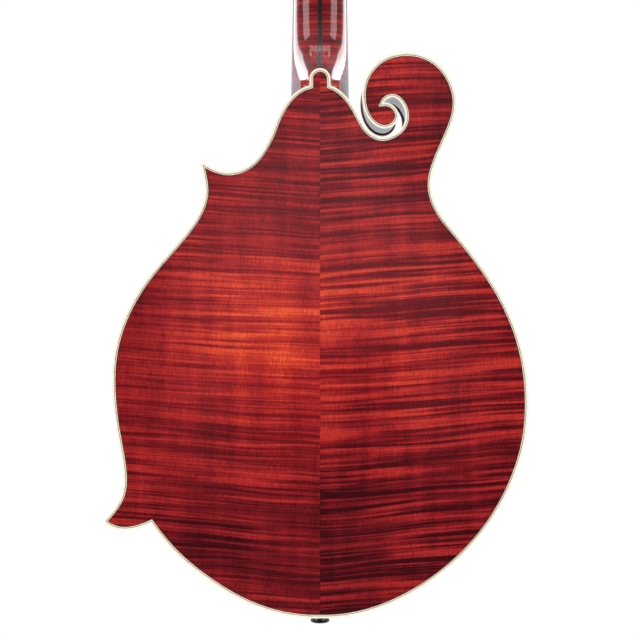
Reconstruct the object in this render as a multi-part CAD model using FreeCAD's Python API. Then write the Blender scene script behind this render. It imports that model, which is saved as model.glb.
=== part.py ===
import FreeCAD, Part
import math
import os

from FreeCAD import Placement, Rotation, Vector

# F-style mandolin, in millimetres. It stands upright: +Z runs up the neck, the strings face -Y, the back
# faces +Y, and the bass side is -X. The origin is the centre of the strap button's rim, on the centre line,
# halfway through the rim's depth.

# ---- driving dimensions ----

# body
body_length = 348.0
body_width = 256.0
rib_depth = 41.0
rib_thickness = 2.2
rib_set_in = 0.8            # the plates stand this far past the ribs
plate_thickness = 4.5
top_arch = 15.0
back_arch = 13.0
binding_width = 1.3
purfling_black_width = 0.35
purfling_ivory_width = 0.45
lining_width = 5.0
lining_height = 7.0
tail_block_width = 62.0
tail_block_depth = 22.0
tone_bar_width = 6.0
tone_bar_height = 11.0
tone_bar_length = 170.0

# sound holes
sound_hole_offset = 66.0
sound_hole_height = 176.0
sound_hole_length = 92.0
sound_hole_lobe = 4.2
sound_hole_waist = 2.9

# neck and headstock
scale_length = 352.4
joint_fret = 15
fret_count = 29
neck_joint_height = 328.6   # above the tail on the outline as drawn; it follows the body's length
heel_button_width = 12.9
heel_button_length = 10.7
board_face_offset = 36.0    # the fingerboard's face in front of the body's middle, at the joint
neck_pitch = 5.5
head_tilt = 13.0
nut_width = 28.6
joint_width = 37.4
board_thickness = 5.0
board_end = 92.0
tongue_length = 66.0
neck_depth_nut = 19.4
neck_depth_joint = 22.0
centre_strip = 2.5
tenon_width = 24.0
tenon_length = 14.0
nut_thickness = 4.5
nut_rise = 1.9
fret_width = 1.5
fret_rise = 1.0
fret_tang = 0.6
fret_tang_depth = 1.6
marker_radius = 2.5
head_length = 150.0
head_thickness = 15.0
head_half_low = 31.5
head_half_high = 36.0
overlay_thickness = 2.5
head_binding_width = 1.5
rod_radius = 2.4
rod_nut_radius = 3.6
rod_nut_length = 9.0
rod_depth = 5.4             # rod axis below the fingerboard
rod_reach = 12.0            # how far the rod stands past the nut

# tuners
tuner_count = 4
tuner_spacing = 23.0
tuner_first = 36.0
post_offset = 18.5
post_radius = 3.0
post_rise = 13.0
gear_teeth = 16
gear_pitch_radius = 5.5
gear_tooth = 0.45           # addendum
gear_face = 2.4
worm_pitch_radius = 2.6
worm_turns = 4
worm_length = 10.8
worm_shaft_radius = 1.75
tuner_plate_thickness = 1.2
tuner_plate_width = 25.0
ear_thickness = 2.4
button_gap = 3.0
button_length = 15.0
button_width = 12.0
button_thickness = 7.4

# bridge
bridge_base_width = 112.0
bridge_base_thickness = 10.0
bridge_base_rise = 4.2
bridge_saddle_width = 94.0
bridge_saddle_thickness = 6.0
bridge_post_offset = 37.0
bridge_post_radius = 1.75
bridge_wheel_radius = 6.5
bridge_wheel_thickness = 1.8
bridge_wheel_lift = 1.6

# strings: radius of each course, bass to treble
string_radii = (0.50, 0.34, 0.20, 0.14)
nut_spread = 23.6
bridge_spread = 41.0
tail_spread = 34.0
nut_pair = 2.2
bridge_pair = 2.8
tail_pair = 4.0
string_rise_nut = 1.3
string_rise_bridge = 4.4

# tailpiece
tail_plate = 1.2
tail_leg_width = 30.0
tail_leg_length = 46.0
tail_base_width = 50.0
tail_base_length = 52.0
tail_stand_off = 10.5
hook_radius = 0.9
hook_rise = 3.4
cover_sheet = 0.9
cover_length = 68.0
cover_rise = 8.0
cover_gap = 0.35

# strap button
pin_head_radius = 6.0
pin_head_length = 4.4
pin_band_length = 2.2
pin_waist_radius = 3.85
pin_waist_length = 2.3
pin_collar_radius = 5.2
pin_collar_length = 1.0
pin_shank_radius = 3.6
pin_shank_length = 16.0

fit = 0.05                  # running clearance of a shaft in its hole
slide = 0.3                 # clearance between pieces that pass each other

# ---- places that follow from them ----

drawn_length = 348.0        # the body outline's own size, as its points are written below
drawn_width = 256.0
tail_z = pin_head_length / 2 + pin_waist_length
joint_rise = neck_joint_height * body_length / drawn_length
joint_z = tail_z + joint_rise
rib_y = rib_depth / 2
face_y = rib_y + plate_thickness
trim_width = binding_width + 2 * purfling_black_width + purfling_ivory_width
nut_z = scale_length * (1 - 2 ** (-joint_fret / 12))
bridge_local_z = nut_z - scale_length
big = 900.0

neck_place = Placement(Vector(0, -board_face_offset, joint_z), Rotation(Vector(1, 0, 0), -neck_pitch))
head_place = neck_place.multiply(
    Placement(Vector(0, board_thickness, nut_z + nut_thickness), Rotation(Vector(1, 0, 0), -head_tilt))
)

os.makedirs("parts", exist_ok=True)


def save(name, *shapes):
    solids = [solid for shape in shapes for solid in shape.Solids]
    Part.makeCompound(solids).exportStep("parts/" + name + ".step")


def box(x, y, z):
    """A box between two corners, given as (low, high) pairs."""
    return Part.makeBox(x[1] - x[0], y[1] - y[0], z[1] - z[0], Vector(x[0], y[0], z[0]))


def rod(start, end, radius):
    return Part.makeCylinder(radius, start.distanceToPoint(end), start, end - start)


def placed(shape, place):
    moved = shape.copy()
    moved.Placement = place.multiply(moved.Placement)
    return moved


def mirrored(shape):
    return shape.mirror(Vector(0, 0, 0), Vector(1, 0, 0))


def polygon(points):
    """A closed wire in the XZ plane."""
    corners = [Vector(x, 0, z) for x, z in points]
    return Part.makePolygon(corners + corners[:1])


def prism(wire, low, high):
    """The solid over an XZ outline, from one depth to the other."""
    face = Part.Face(wire)
    face.translate(Vector(0, low, 0))
    return face.extrude(Vector(0, high - low, 0))


def spline(points):
    curve = Part.BSplineCurve()
    curve.interpolate(points)
    return curve.toShape()


def joined(*shapes):
    return shapes[0].fuse(list(shapes[1:])).removeSplitter()


screws = []


def screw(place, seat, direction, head, shank, length):
    """Adds a round-headed wood screw to screws, and returns the hole that it needs."""
    start = place.multVec(seat)
    way = place.Rotation.multVec(direction)
    body = rod(start, start + way * length, shank)
    cap = Part.makeCylinder(head, head * 0.45, start - way * head * 0.45, way)
    rim = [edge for edge in cap.Edges if abs(edge.Length - 2 * math.pi * head) < 0.01]
    outer = [edge for edge in rim if (edge.CenterOfMass - start).Length > head * 0.3]
    cap = cap.makeFillet(head * 0.3, outer)
    slot_box = box((-head, head), (-head * 0.12, head * 0.12), (-0.35, 0.35))
    turn = Rotation(Vector(0, 0, 1), way)
    cap = cap.cut(placed(slot_box, Placement(start - way * head * 0.45, turn)))
    screws.append(joined(cap, body))
    return rod(start - way * 0.01, start + way * (length + 0.4), shank)


# ---- body outline ----

def body_point(x, z):
    return Vector(x * body_width / drawn_width, 0, tail_z + z * body_length / drawn_length)


def body_run(points):
    return spline([body_point(x, z) for x, z in points])


def body_outline(with_button, with_scroll=True):
    """The plate outline's edges: up the bass side from the tail, round the scroll, down the treble side."""
    bass = [(0, 0), (-33.5, 5), (-60.5, 17.5), (-84.5, 35.5), (-104, 57.5), (-118.5, 83.5), (-127, 112),
            (-128.5, 135), (-125.5, 162), (-116, 190), (-101, 215.5), (-83, 238.5), (-71.5, 254.5),
            (-68.5, 267.5), (-71.5, 281), (-78.5, 297.5), (-84, 317.5), (-80.5, 332), (-69.5, 344.5),
            (-54, 349), (-37.5, 344.5), (-28, 333), (-26, 320), (-28.5, 310.5), (-34, 304), (-40.5, 302),
            (-46, 304.5), (-48.5, 310.5), (-45.5, 316), (-39.5, 318)]
    slot = [(-39.5, 318), (-41.5, 320.3), (-45, 321.2), (-50, 317.8), (-52.7, 309.8), (-50.3, 302.4),
            (-45, 298.3), (-38, 296.6), (-30.5, 300), (-24, 309.5), (-18.5, 319), (-12.5, 325.3)]
    shoulder = [(16, 323.5), (22.5, 315.5), (27, 306.5), (30.5, 297.5), (35, 289), (41, 281.5),
                (48, 277), (56.5, 275.3), (65.5, 277.5), upper_tip]
    waist = [upper_tip, (72, 272), (71, 262.5), (73.5, 252.5), (83, 237.5), (96, 222.5), (108.5, 207),
             (118.5, 190), (125.5, 171), (128.3, 151), (128, 136), (126.3, 120), (123, 101.5),
             (121.3, 87), (122.8, 75.5), (127.5, 67.3), lower_tip]
    notch = (104.3, 58.4)
    point = [lower_tip, (127, 55.3), (119.5, 54.2), (111, 55.8), notch]
    tail = [notch, (98, 50), (84.3, 35.5), (68.3, 23), (51.5, 12.6), (33.5, 5), (0, 0)]
    half = heel_button_width / 2
    left = Vector(-half, 0, joint_z)
    right = Vector(half, 0, joint_z)
    edges = [body_run(bass), spline([body_point(x, z) for x, z in slot] + [left])]
    if not with_scroll:
        curve = edges[0].Curve
        stop = curve.parameter(body_point(-78.5, 297.5))
        edges = [curve.toShape(curve.FirstParameter, stop), Part.makeLine(curve.value(stop), left)]
    if with_button:
        rise = Vector(0, 0, heel_button_length - half)
        crown = Vector(0, 0, joint_z + heel_button_length)
        edges.append(Part.makeLine(left, left + rise))
        edges.append(Part.Arc(left + rise, crown, right + rise).toShape())
        edges.append(Part.makeLine(right + rise, right))
    else:
        edges.append(Part.makeLine(left, right))
    edges.append(spline([right] + [body_point(x, z) for x, z in shoulder]))
    return edges + [body_run(waist), body_run(point), body_run(tail)]


upper_tip = (74, 282.5)
lower_tip = (133.8, 60)
back_edges = body_outline(True)
top_edges = body_outline(False)
lining_edges = body_outline(False, False)


def inset_run(edge, distance):
    """Points of one edge moved to its right, which is the inside of a clockwise outline."""
    curve = edge.Curve
    first, last = edge.ParameterRange
    stops = [first, last]
    if isinstance(curve, Part.BSplineCurve):
        stops = sorted({min(max(knot, first), last) for knot in curve.getKnots()})
    spans = 1 if isinstance(curve, Part.Line) else 4
    places = [a + (b - a) * i / spans for a, b in zip(stops, stops[1:]) for i in range(spans)] + [last]
    points = []
    for place in places:
        way = curve.tangent(place)[0]
        points.append(curve.value(place) + Vector(way.z, 0, -way.x) * distance)
    return points


def crossing(a, b, c, d):
    """Where line ab meets line cd, as shares of ab and cd, or None if they are parallel."""
    along, other, gap = b - a, d - c, c - a
    turn = along.x * other.z - along.z * other.x
    if abs(turn) <= 1e-6 * along.Length * other.Length:
        return None
    return (gap.x * other.z - gap.z * other.x) / turn, (gap.x * along.z - gap.z * along.x) / turn


def meet(before, after):
    """Trim or carry on two neighbouring runs to the corner where they meet."""
    reach = min(14, len(before) - 1), min(14, len(after) - 1)
    for i in range(1, reach[0] + 1):
        for j in range(reach[1]):
            a, b, c, d = before[-i - 1], before[-i], after[j], after[j + 1]
            shares = crossing(a, b, c, d)
            if shares and 0 <= shares[0] <= 1 and 0 <= shares[1] <= 1:
                corner = a + (b - a) * shares[0]
                return before[:len(before) - i] + [corner], [corner] + after[j + 1:]
    shares = crossing(before[-2], before[-1], after[0], after[1])
    if not shares or shares[0] < 1 or shares[0] > 60:
        corner = (before[-1] + after[0]) * 0.5
        return before[:-1] + [corner], [corner] + after[1:]
    corner = before[-2] + (before[-1] - before[-2]) * shares[0]
    return before + [corner], [corner] + after


def thinned(points):
    """The same run without points that crowd its two ends."""
    kept = [p for p in points[1:-1] if min((p - points[0]).Length, (p - points[-1]).Length) > 0.5]
    return [points[0]] + kept + [points[-1]]


def inset(edges, distance):
    """An outline moved inwards."""
    if not distance:
        return Part.Wire(edges)
    runs = [inset_run(edge, distance) for edge in edges]
    for i in range(len(runs)):
        runs[i - 1], runs[i] = meet(runs[i - 1], runs[i])
    runs = [thinned(run) for run in runs]
    return Part.Wire([spline(run) if len(run) > 2 else Part.makeLine(*run) for run in runs])


def ring(edges, outer, inner, low, high):
    """The band between two insets of an outline."""
    return prism(inset(edges, outer), low, high).cut(prism(inset(edges, inner), low - 1, high + 1))


# ---- arched plates ----

def arch_height(x, z, arch):
    """Height of the carving above the flat edge: a pear-shaped bell."""
    along = (z - tail_z - 6) / (joint_rise - 8)
    if not 0 < along < 1:
        return 0.0
    swell = math.sin(math.pi * along ** 0.81)
    across = abs(x) / (0.478 * body_width * swell ** 0.7)
    if across >= 1:
        return 0.0
    lift = (0.5 - 0.5 * math.cos(2 * math.pi * along ** 0.81)) ** 0.7
    return arch * lift * (0.5 + 0.5 * math.cos(math.pi * across)) ** 0.9


def arch_face(side, arch):
    """The outer face of a plate; side is -1 for the top and +1 for the back."""
    columns, rows, degree = 23, 31, 3
    x_low, x_high = -0.6 * body_width, 0.6 * body_width
    z_low, z_high = tail_z - 10, tail_z + body_length + 15

    def knots(count):
        inner = count - degree + 1
        return [i / (inner - 1) for i in range(inner)], [degree + 1] + [1] * (inner - 2) + [degree + 1]

    def middles(count):
        values, repeats = knots(count)
        flat = [v for v, r in zip(values, repeats) for _ in range(r)]
        return [sum(flat[i + 1:i + 1 + degree]) / degree for i in range(count)]

    xs = [x_low + t * (x_high - x_low) for t in middles(columns)]
    zs = [z_low + t * (z_high - z_low) for t in middles(rows)]
    poles = [[Vector(x, side * (face_y + arch_height(x, z, arch)), z) for z in zs] for x in xs]
    x_knots, x_repeats = knots(columns)
    z_knots, z_repeats = knots(rows)
    surface = Part.BSplineSurface()
    surface.buildFromPolesMultsKnots(poles, x_repeats, z_repeats, x_knots, z_knots,
                                     False, False, degree, degree)
    return surface.toShape()


def bass_of(shape):
    return shape.common(box((-big, 0), (-big, big), (-big, big)))


def treble_of(shape):
    return shape.common(box((0, big), (-big, big), (-big, big)))


top_face = arch_face(-1, top_arch)
back_face = arch_face(1, back_arch)
under_top = top_face.extrude(Vector(0, 2 * face_y, 0))
plate_top = top_face.extrude(Vector(0, plate_thickness, 0)).common(
    prism(inset(top_edges, trim_width), -face_y - 2 * top_arch, 0))
plate_back = back_face.extrude(Vector(0, -plate_thickness, 0)).common(
    prism(inset(back_edges, trim_width), 0, face_y + 2 * back_arch))


def sound_hole():
    """The treble f-hole: two round lobes joined by a curved slot that is widest at its middle."""
    half = sound_hole_length / 2
    route = [(-6.5, 0.86), (-2.5, 0.98), (2.6, 0.90), (3.6, 0.66), (1.4, 0.22)]
    centre = [(x, z * half) for x, z in route]
    centre += [(-x, -z) for x, z in reversed(centre)]
    count = len(centre)
    left, right = [], []
    for i, (x, z) in enumerate(centre):
        ahead = centre[min(i + 1, count - 1)]
        behind = centre[max(i - 1, 0)]
        run = Vector(ahead[0] - behind[0], 0, ahead[1] - behind[1]).normalize()
        width = 0.8 + (sound_hole_waist - 0.8) * math.sin(math.pi * i / (count - 1)) ** 2
        across = Vector(-run.z, 0, run.x) * width
        left.append(Vector(x, 0, z) + across)
        right.append(Vector(x, 0, z) - across)
    ends = [Part.makeLine(left[-1], right[-1]), Part.makeLine(right[0], left[0])]
    wire = Part.Wire([spline(left), ends[0], spline(right[::-1]), ends[1]])
    hole = prism(wire, -big, 0)
    for sign in (1, -1):
        lobe = Vector(-4.9 * sign, -big, sign * (half * 0.86 - sound_hole_lobe * 0.8))
        hole = hole.fuse(Part.makeCylinder(sound_hole_lobe, big, lobe, Vector(0, 1, 0)))
    nick = polygon([(-4.6, 0), (0, 1.3), (4.6, 0), (0, -1.3)])
    hole = hole.fuse(prism(nick, -big, 0))
    hole.rotate(Vector(0, 0, 0), Vector(0, 1, 0), 6)
    hole.translate(Vector(sound_hole_offset, 0, tail_z + sound_hole_height))
    return hole


treble_hole = sound_hole()
top_bass = bass_of(plate_top).cut(mirrored(treble_hole))
top_treble = treble_of(plate_top).cut(treble_hole)
save("top_bass_half", top_bass)
save("top_treble_half", top_treble)
save("back_bass_half", bass_of(plate_back))
save("back_treble_half", treble_of(plate_back))

ring_edges = [0, binding_width]
for width in (purfling_black_width, purfling_ivory_width, purfling_black_width):
    ring_edges.append(ring_edges[-1] + width)


def trim_rings(edges, low, high):
    return [ring(edges, a, b, low, high) for a, b in zip(ring_edges, ring_edges[1:])]


top_trim = trim_rings(top_edges, -face_y, -rib_y)
back_trim = trim_rings(back_edges, rib_y, face_y)
save("top_binding", top_trim[0])
save("back_binding", back_trim[0])
save("purfling_black", top_trim[1], top_trim[3], back_trim[1], back_trim[3])
save("purfling_ivory", top_trim[2], back_trim[2])

# ---- ribs, blocks and linings ----

rib_inner = rib_set_in + rib_thickness
inner_wire = inset(top_edges, rib_inner)
tenon = box((-tenon_width / 2, tenon_width / 2), (-rib_y, rib_y - 2),
            (joint_z - tenon_length, joint_z + 4))


def wedge(points):
    """A prism through the whole body over a region given in body outline points."""
    corners = [body_point(x, z) for x, z in points]
    return prism(Part.makePolygon(corners + corners[:1]), -big, big)


hub = (0, 160)


def beyond(tip):
    """The outline tip carried out along its ray from the hub."""
    return hub[0] + 1.5 * (tip[0] - hub[0]), hub[1] + 1.5 * (tip[1] - hub[1])


regions = {
    "rib_bass": [(0, -60), (0, 400), (-200, 400), (-200, -60)],
    "rib_treble_lower": [(0, -60), hub, beyond(lower_tip), (beyond(lower_tip)[0], -60)],
    "rib_treble_waist": [hub, beyond(lower_tip), (210, 160), beyond(upper_tip)],
    "rib_treble_upper": [hub, beyond(upper_tip), (beyond(upper_tip)[0], 400), (0, 400)],
}
tail_face_y = face_y + tail_stand_off
tail_screw_places = [(-9.5, 2.4 - rib_y / 2), (9.5, 2.4 - rib_y / 2), (0, -pin_collar_radius - 4)]
tail_drills = [
    screw(Placement(), Vector(x, y, tail_z - tail_plate), Vector(0, 0, 1), 2.4, 1.1, 12)
    for x, y in tail_screw_places]
pin_hole = rod(Vector(0, 0, -big), Vector(0, 0, tail_z + pin_shank_length + 1), pin_shank_radius)
rib_ring = ring(top_edges, rib_set_in, rib_inner, -rib_y, rib_y).cut([tenon, pin_hole] + tail_drills)
for name, points in regions.items():
    save(name, rib_ring.common(wedge(points)))

inside = prism(inner_wire, -rib_y, rib_y)
head_region = wedge([(-100, 292), (-27, 270), (27, 270), (42, 300), (42, 400), (-100, 400)])
head_block = inside.common(head_region).cut(tenon)
tail_block = inside.common(box((-tail_block_width / 2, tail_block_width / 2), (-big, big),
                               (-big, tail_z + tail_block_depth)))
upper_block = inside.common(wedge([(62, 266), (90, 266), (90, 300), (58, 300)]))
lower_block = inside.common(wedge([(112, 40), (140, 40), (140, 84), (116, 84)]))
save("head_block", head_block)
save("tail_block", tail_block.cut([pin_hole] + tail_drills))
save("point_blocks", upper_block, lower_block)

lining_band = ring(lining_edges, rib_inner, rib_inner + lining_width, -rib_y, rib_y)
lining_gap = rib_y - lining_height
lining_band = lining_band.cut(box((-big, big), (-lining_gap, lining_gap), (-big, big)))
lining_band = lining_band.cut([head_region, tail_block, upper_block, lower_block])
lining_pieces = [piece for piece in lining_band.Solids if piece.Volume > 200]
save("linings", Part.makeCompound(lining_pieces))


def tone_bar(sign):
    """A bar glued under the top, its upper edge fitted to the arch."""
    middle_z = tail_z + 165
    bar = box((-tone_bar_width / 2, tone_bar_width / 2), (-face_y - top_arch, -rib_y - 2),
              (-tone_bar_length / 2, tone_bar_length / 2))
    bar.rotate(Vector(0, 0, 0), Vector(0, 1, 0), -4 * sign)
    bar.translate(Vector(sign * 26, 0, middle_z))
    under = top_face.extrude(Vector(0, tone_bar_height + plate_thickness, 0))
    above = top_face.extrude(Vector(0, plate_thickness, 0))
    return bar.common(under).cut(above)


save("tone_bars", tone_bar(-1), tone_bar(1))

# ---- neck ----

def neck_half_width(z):
    return (joint_width + (nut_width - joint_width) * z / nut_z) / 2


def neck_section(place, z, half, front, back, flat, drop, tuck):
    """A neck cross-section: flat front, sides that bow in to a narrow flat back."""
    def at(x, y):
        return place.multVec(Vector(x, y, z))

    deep = front + drop * (back - front)
    near = flat + tuck * (half - flat)
    right = Part.BezierCurve()
    right.setPoles([at(half, front), at(half, deep), at(near, back), at(flat, back)])
    left = Part.BezierCurve()
    left.setPoles([at(-flat, back), at(-near, back), at(-half, deep), at(-half, front)])
    return Part.Wire([
        Part.makeLine(at(-half, front), at(half, front)), right.toShape(),
        Part.makeLine(at(flat, back), at(-flat, back)), left.toShape(),
    ])


button_half = heel_button_width / 2
heel_depth = board_face_offset + rib_y + 6
heel_middle = heel_button_length + 7
heel_start = -16


def neck_station(z):
    """The neck's section at a place along it: the heel swells out of the shaft below the joint fret."""
    swell = 1 / (1 + math.exp((z - heel_middle) / 7))
    narrow = 1 / (1 + math.exp((z - heel_middle - 6) / 6))
    depth = neck_depth_joint + (neck_depth_nut - neck_depth_joint) * z / nut_z
    back = depth + (heel_depth - depth) * swell
    flat = 3.6 + (button_half - 3.6) * narrow
    half = neck_half_width(min(z, nut_z))
    fullness = (0.58 - 0.26 * narrow, 0.62 - 0.54 * narrow)
    return neck_section(neck_place, z, half, board_thickness, back, flat, *fullness)


shaft_stops = list(range(heel_start, 64, 4)) + [76, 100, 130, 165]
sections = [neck_station(z) for z in shaft_stops + [nut_z + nut_thickness]]
shaft = Part.makeLoft(sections, True, False)

# headstock: the outline in its own frame, from the nut up
flare_z = 15.0
flare_half = 19.5
crown_half = 13.0


def head_outline():
    rise = head_length
    half = nut_width / 2
    side = [(flare_half, flare_z), (27, 23), (head_half_low, 36), (head_half_low + 0.6, 62),
            (head_half_high - 1, rise - 36), (head_half_high, rise - 16)]
    crest = [(head_half_high, rise - 16), (head_half_high - 5, rise - 5), (head_half_high - 15, rise - 4),
             (crown_half, rise - 9)]
    crown = [(crown_half, rise - 9), (crown_half - 5, rise - 2.5), (0, rise)]

    def run(points, sign):
        return spline([Vector(sign * x, 0, z) for x, z in points])

    edges = [Part.makeLine(Vector(-half, 0, 0), Vector(half, 0, 0)),
             Part.makeLine(Vector(half, 0, 0), Vector(flare_half, 0, flare_z))]
    edges += [run(side, 1), run(crest, 1)]
    mound = crown + [(-x, z) for x, z in reversed(crown[:-1])]
    edges.append(run(mound, 1))
    edges += [run(crest[::-1], -1), run(side[::-1], -1)]
    edges.append(Part.makeLine(Vector(-flare_half, 0, flare_z), Vector(-half, 0, 0)))
    return edges


head_edges = head_outline()
flare_section = neck_section(head_place, flare_z, flare_half, 0, head_thickness, button_half, 0.96, 0.97)
flare = Part.makeLoft([sections[-1], flare_section], True, True)
head_core = prism(Part.Wire(head_edges), 0, head_thickness)
head_core = placed(head_core.common(box((-big, big), (-1, big), (flare_z, big))), head_place)

tongue_half = neck_half_width(-tongue_length) - 3
tongue_depth = (board_thickness, board_thickness + 22)
tongue = box((-tongue_half, tongue_half), tongue_depth, (-tongue_length, heel_start))
tongue = placed(tongue, neck_place)

top_mass = under_top.common(prism(Part.Wire(top_edges), -face_y - 2 * top_arch, -rib_y))
rib_mass = prism(inset(top_edges, rib_set_in), -rib_y, rib_y)
over_back = box((-big, big), (rib_y, big), (-big, big))
in_soundbox = box((-big, big), (-rib_y, big), (-big, joint_z - tenon_length / 2))
neck = shaft.cut([top_mass, rib_mass, over_back, in_soundbox])
tongue = tongue.cut([top_mass, in_soundbox])
neck = joined(neck, tongue, tenon, flare, head_core)

# tuner places, in the headstock's frame
worm_distance = gear_pitch_radius + worm_pitch_radius
worm_y = head_thickness + tuner_plate_thickness + 0.4 + worm_pitch_radius + gear_tooth
posts = [(side, tuner_first + i * tuner_spacing) for side in (-1, 1) for i in range(tuner_count)]
bushing_radius = post_radius + 1.4
bushing_length = 8.0
bushing_flange = 1.0
flange_radius = post_radius + 2.6


def along_head(x, z, low, high, radius):
    return rod(Vector(x, low, z), Vector(x, high, z), radius)


post_drills = []
for side, z in posts:
    x = side * post_offset
    bushing_end = bushing_length - overlay_thickness
    post_drills.append(along_head(x, z, -overlay_thickness - 1, bushing_end, bushing_radius))
    post_drills.append(along_head(x, z, 0, head_thickness + 1, post_radius + 0.4))

# truss rod, its nut and its pocket
rod_y = board_thickness + rod_depth
rod_end = nut_z + nut_thickness + rod_reach
rod_start = heel_button_length + 2
rod_path = (Vector(0, rod_y, rod_start), Vector(0, rod_y, rod_end))
truss_rod = placed(rod(*rod_path, rod_radius), neck_place)
rod_channel = placed(rod(*rod_path, rod_radius), neck_place)
pocket_half = rod_nut_radius + 1.6
pocket = (4.0, 33.0)
rod_pocket = box((-pocket_half, pocket_half), (-overlay_thickness - 1, 9.5), pocket)
rod_pocket = placed(rod_pocket, head_place)

plate_low = tuner_first - 10
plate_high = tuner_first + (tuner_count - 1) * tuner_spacing + worm_distance + 8
plate_near = post_offset - tuner_plate_width / 2 + 0.5
plate_far = plate_near + tuner_plate_width
plate_back_y = head_thickness + tuner_plate_thickness
back_way = Vector(0, -1, 0)
screw_drills = []
for side in (-1, 1):
    for i in range(tuner_count + 1):
        z = plate_low + 4 if i == 0 else plate_high - 3 if i == tuner_count else None
        if z is None:
            z = tuner_first + (i - 1) * tuner_spacing + worm_distance + 7.4
        x = plate_far - 3.2 if 0 < i < tuner_count else post_offset
        seat = Vector(side * x, plate_back_y, z)
        screw_drills.append(screw(head_place, seat, back_way, 2.0, 0.9, 8))
cover_low, cover_high = 1.5, 37.0
cover_face = -overlay_thickness - 1.8
for x, z in ((0, cover_high - 2.6), (-8.3, cover_low + 4), (8.3, cover_low + 4)):
    screw_drills.append(screw(head_place, Vector(x, cover_face, z), Vector(0, 1, 0), 1.5, 0.7, 7))

placed_drills = [placed(drill, head_place) for drill in post_drills]
neck = neck.cut(placed_drills + [rod_channel, rod_pocket] + screw_drills)
strip_half = centre_strip / 2
save("neck_bass_half", neck.common(box((-big, -strip_half), (-big, big), (-big, 2 * big))))
save("neck_treble_half", neck.common(box((strip_half, big), (-big, big), (-big, 2 * big))))
save("neck_centre_strip", neck.common(box((-strip_half, strip_half), (-big, big), (-big, 2 * big))))
save("truss_rod", truss_rod)

nut_hex = Part.makePolygon([
    Vector(rod_nut_radius * math.cos(math.radians(a)), rod_nut_radius * math.sin(math.radians(a)), 0)
    for a in range(0, 361, 60)])
rod_nut = Part.Face(nut_hex).extrude(Vector(0, 0, rod_nut_length))
rod_nut = rod_nut.cut(Part.makeCylinder(rod_radius + fit, rod_nut_length, Vector(0, 0, -1)))
rod_nut.translate(Vector(0, rod_y, rod_path[1].z - rod_nut_length + 1.2))
save("truss_rod_nut", placed(rod_nut, neck_place))

# ---- headstock face ----

overlay_outline = inset(head_edges, -head_binding_width)
overlay = prism(overlay_outline, -overlay_thickness, 0)
head_band = prism(Part.Wire(head_edges), -overlay_thickness, 0).cut(prism(overlay_outline, -9, 9))
overlay = placed(overlay, head_place).cut(placed_drills + [rod_pocket] + screw_drills)
save("headstock_overlay", overlay)
save("headstock_binding", placed(head_band, head_place).cut(rod_pocket))

cover_shoulder = cover_high - 3
cover_shape = [(-11, cover_low), (-11, 9), (-5.5, 20), (-4, cover_shoulder)]
cover_top = [Vector(4, 0, cover_shoulder), Vector(0, 0, cover_high), Vector(-4, 0, cover_shoulder)]
cover_edges = [
    Part.makeLine(Vector(-11, 0, cover_low), Vector(11, 0, cover_low)),
    spline([Vector(-x, 0, z) for x, z in cover_shape]),
    Part.Arc(*cover_top).toShape(),
    spline([Vector(x, 0, z) for x, z in reversed(cover_shape)]),
]
rod_cover = prism(Part.Wire(cover_edges), cover_face, -overlay_thickness)
save("truss_rod_cover", placed(rod_cover, head_place).cut(screw_drills))

# ---- fingerboard, frets, nut ----

def board_outline(margin):
    """Fingerboard outline, with its end swept down towards the treble side."""
    end_half = neck_half_width(-board_end) - margin
    start_half = neck_half_width(nut_z) - margin
    short = -board_end + 24 + margin
    long = -board_end + margin
    bass_half = neck_half_width(short) - margin
    sweep = [Vector(-bass_half, 0, short), Vector(-bass_half * 0.45, 0, short - 1),
             Vector(0, 0, short - 9), Vector(end_half * 0.45, 0, long + 2), Vector(end_half, 0, long)]
    return Part.Wire([
        spline(sweep),
        Part.makeLine(Vector(end_half, 0, long), Vector(start_half, 0, nut_z)),
        Part.makeLine(Vector(start_half, 0, nut_z), Vector(-start_half, 0, nut_z)),
        Part.makeLine(Vector(-start_half, 0, nut_z), Vector(-bass_half, 0, short)),
    ])


def fret_z(number):
    return nut_z - scale_length * (1 - 2 ** (-number / 12))


full_board = prism(board_outline(0), 0, board_thickness)
inner_board = prism(board_outline(binding_width), 0, board_thickness)
fret_shapes, tang_slots = [], []
for number in range(1, fret_count + 1):
    z = fret_z(number)
    half = neck_half_width(z)
    tang = box((-half + 0.4, half - 0.4), (0, fret_tang_depth), (z - fret_tang / 2, z + fret_tang / 2))
    lower, upper = Vector(0, 0, z - fret_width / 2), Vector(0, 0, z + fret_width / 2)
    arch = Part.Arc(lower, Vector(0, -fret_rise, z), upper)
    crown = Part.Wire([arch.toShape(), Part.makeLine(upper, lower)])
    bead = Part.Face(crown).extrude(Vector(2 * half - 0.5, 0, 0))
    bead.translate(Vector(-half + 0.25, 0, 0))
    bead_and_tang = joined(bead, tang)
    fret_shapes.append(bead_and_tang.common(prism(board_outline(0.2), -5, 5)))
    tang_slots.append(tang)

markers = []
for number in (3, 5, 7, 10, 12, 15):
    z = (fret_z(number) + fret_z(number - 1)) / 2
    radius = marker_radius if number < 15 else marker_radius - 0.5
    for x in ((-7, 7) if number == 12 else (0,)):
        markers.append(along_head(x, z, 0, 1.5, radius))
board = inner_board.cut(tang_slots + markers)
board_band = full_board.cut(inner_board).cut(box((-big, big), (-1, big), (nut_z - 0.01, big)))
board_band = board_band.cut(tang_slots)
save("fingerboard", placed(board, neck_place))
save("fingerboard_binding", placed(board_band, neck_place))
save("frets", placed(Part.makeCompound(fret_shapes), neck_place))
save("fret_markers", placed(Part.makeCompound(markers), neck_place))

# ---- strings: places where each one bears ----

saddle_local = Vector(0, -string_rise_bridge, bridge_local_z)
saddle_point = neck_place.multVec(saddle_local)
saddle_y, saddle_z = saddle_point.y, saddle_point.z
winding_y = -overlay_thickness - 5.5
hook_z = tail_z + 14
hook_step = 6.0


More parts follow.
